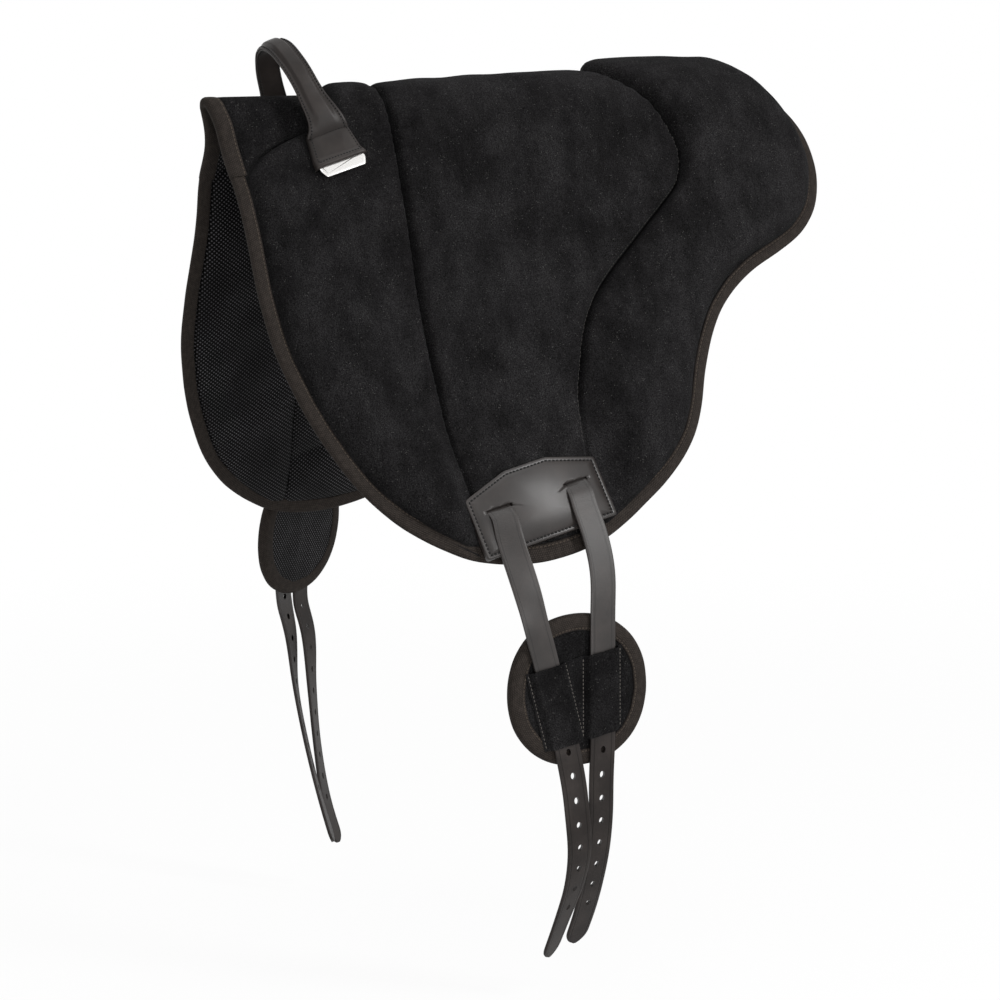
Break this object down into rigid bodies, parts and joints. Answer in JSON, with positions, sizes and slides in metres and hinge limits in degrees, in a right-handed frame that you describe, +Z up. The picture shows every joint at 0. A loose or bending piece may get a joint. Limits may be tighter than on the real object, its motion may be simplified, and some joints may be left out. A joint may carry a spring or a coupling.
{
  "type": "bareback riding pad",
  "caption": "Suede bareback pad with padded flaps, grab handle, dees, girth plates, hanging billets and sliding billet guards.",
  "frame": {"origin": "underside of the ridge, 290 mm behind the front edge, where the pad rests on the horse's back", "axes": "+X to the horse's left, +Y to its tail, +Z up"},
  "size_m": [0.5631, 0.5815, 0.8158],
  "materials": {
    "suede": "napped suede, matt black",
    "mesh": "black spacer mesh, matt",
    "foam": "foam and felt, matt, hidden",
    "tape": "ribbed brown-black binding tape",
    "leather": "smooth black leather, satin",
    "nickel": "bright nickel plate"
  },
  "bodies": {
    "seat": {"seat_cover": "suede", "seat_lining": "mesh", "front_foam": "foam", "seat_foam": "foam", "rear_foam": "foam", "front_arch_binding": "tape", "cantle_binding": "tape", "handle_strap": "leather", "handle_core": "foam", "handle_underlay": "leather", "left_handle_patch": "leather", "left_dee_chape": "leather", "right_handle_patch": "leather", "right_dee_chape": "leather"},
    "left_flap": {"left_flap_cover": "suede", "left_flap_lining": "mesh", "left_front_foam": "foam", "left_thigh_foam": "foam", "left_rear_foam": "foam", "left_flap_binding": "tape", "left_girth_plate": "leather"},
    "left_front_billet": {"left_front_billet": "leather"},
    "left_rear_billet": {"left_rear_billet": "leather"},
    "left_guard": {"left_guard_face": "suede", "left_guard_core": "foam", "left_guard_lining": "mesh", "left_guard_binding": "tape", "left_guard_keeper": "suede"},
    "left_dee": {"left_dee": "nickel"},
    "right_flap": {"right_flap_cover": "suede", "right_flap_lining": "mesh", "right_front_foam": "foam", "right_thigh_foam": "foam", "right_rear_foam": "foam", "right_flap_binding": "tape", "right_girth_plate": "leather"},
    "right_front_billet": {"right_front_billet": "leather"},
    "right_rear_billet": {"right_rear_billet": "leather"},
    "right_guard": {"right_guard_face": "suede", "right_guard_core": "foam", "right_guard_lining": "mesh", "right_guard_binding": "tape", "right_guard_keeper": "suede"},
    "right_dee": {"right_dee": "nickel"}
  },
  "joints": [
    {"name": "left_flap_fold", "type": "hinge", "parent": "seat", "child": "left_flap", "pos_m": [0.08667, 0, -0.08202], "axis": [-0.0657, -0.9926, -0.1026], "range_deg": [-8, 15], "stiffness_Nm_per_rad": 12},
    {"name": "left_front_billet_swing", "type": "hinge", "parent": "left_flap", "child": "left_front_billet", "pos_m": [0.21593, -0.10563, -0.35522], "axis": [0.0098, -0.9686, -0.2483], "range_deg": [0, 80]},
    {"name": "left_rear_billet_swing", "type": "hinge", "parent": "left_flap", "child": "left_rear_billet", "pos_m": [0.21517, -0.03071, -0.33602], "axis": [0.0098, -0.9686, -0.2483], "range_deg": [0, 80]},
    {"name": "left_guard_slide", "type": "slide", "parent": "left_front_billet", "child": "left_guard", "axis": [0, -0.1391, 0.9903], "range_m": [-0.012, 0.01]},
    {"name": "left_dee_swing", "type": "hinge", "parent": "seat", "child": "left_dee", "pos_m": [0.06557, -0.18522, -0.05599], "axis": [0.032, -0.9522, -0.3037], "range_deg": [0, 75]},
    {"name": "right_flap_fold", "type": "hinge", "parent": "seat", "child": "right_flap", "pos_m": [-0.07329, 0, -0.08202], "axis": [-0.0657, 0.9926, 0.1026], "range_deg": [-8, 15], "stiffness_Nm_per_rad": 12},
    {"name": "right_front_billet_swing", "type": "hinge", "parent": "right_flap", "child": "right_front_billet", "pos_m": [-0.20821, -0.10563, -0.35522], "axis": [0.0198, 0.9685, 0.2483], "range_deg": [0, 80]},
    {"name": "right_rear_billet_swing", "type": "hinge", "parent": "right_flap", "child": "right_rear_billet", "pos_m": [-0.20668, -0.03071, -0.33602], "axis": [0.0198, 0.9685, 0.2483], "range_deg": [0, 80]},
    {"name": "right_guard_slide", "type": "slide", "parent": "right_front_billet", "child": "right_guard", "axis": [0.2281, -0.1213, 0.9661], "range_m": [-0.012, 0]},
    {"name": "right_dee_swing", "type": "hinge", "parent": "seat", "child": "right_dee", "pos_m": [-0.06195, -0.18522, -0.05599], "axis": [-0.0207, 0.9525, 0.3038], "range_deg": [0, 75]}
  ],
  "couplings": [
    {"joint": "left_rear_billet_swing", "follows": "left_front_billet_swing", "ratio": 1},
    {"joint": "right_rear_billet_swing", "follows": "right_front_billet_swing", "ratio": 1}
  ]
}
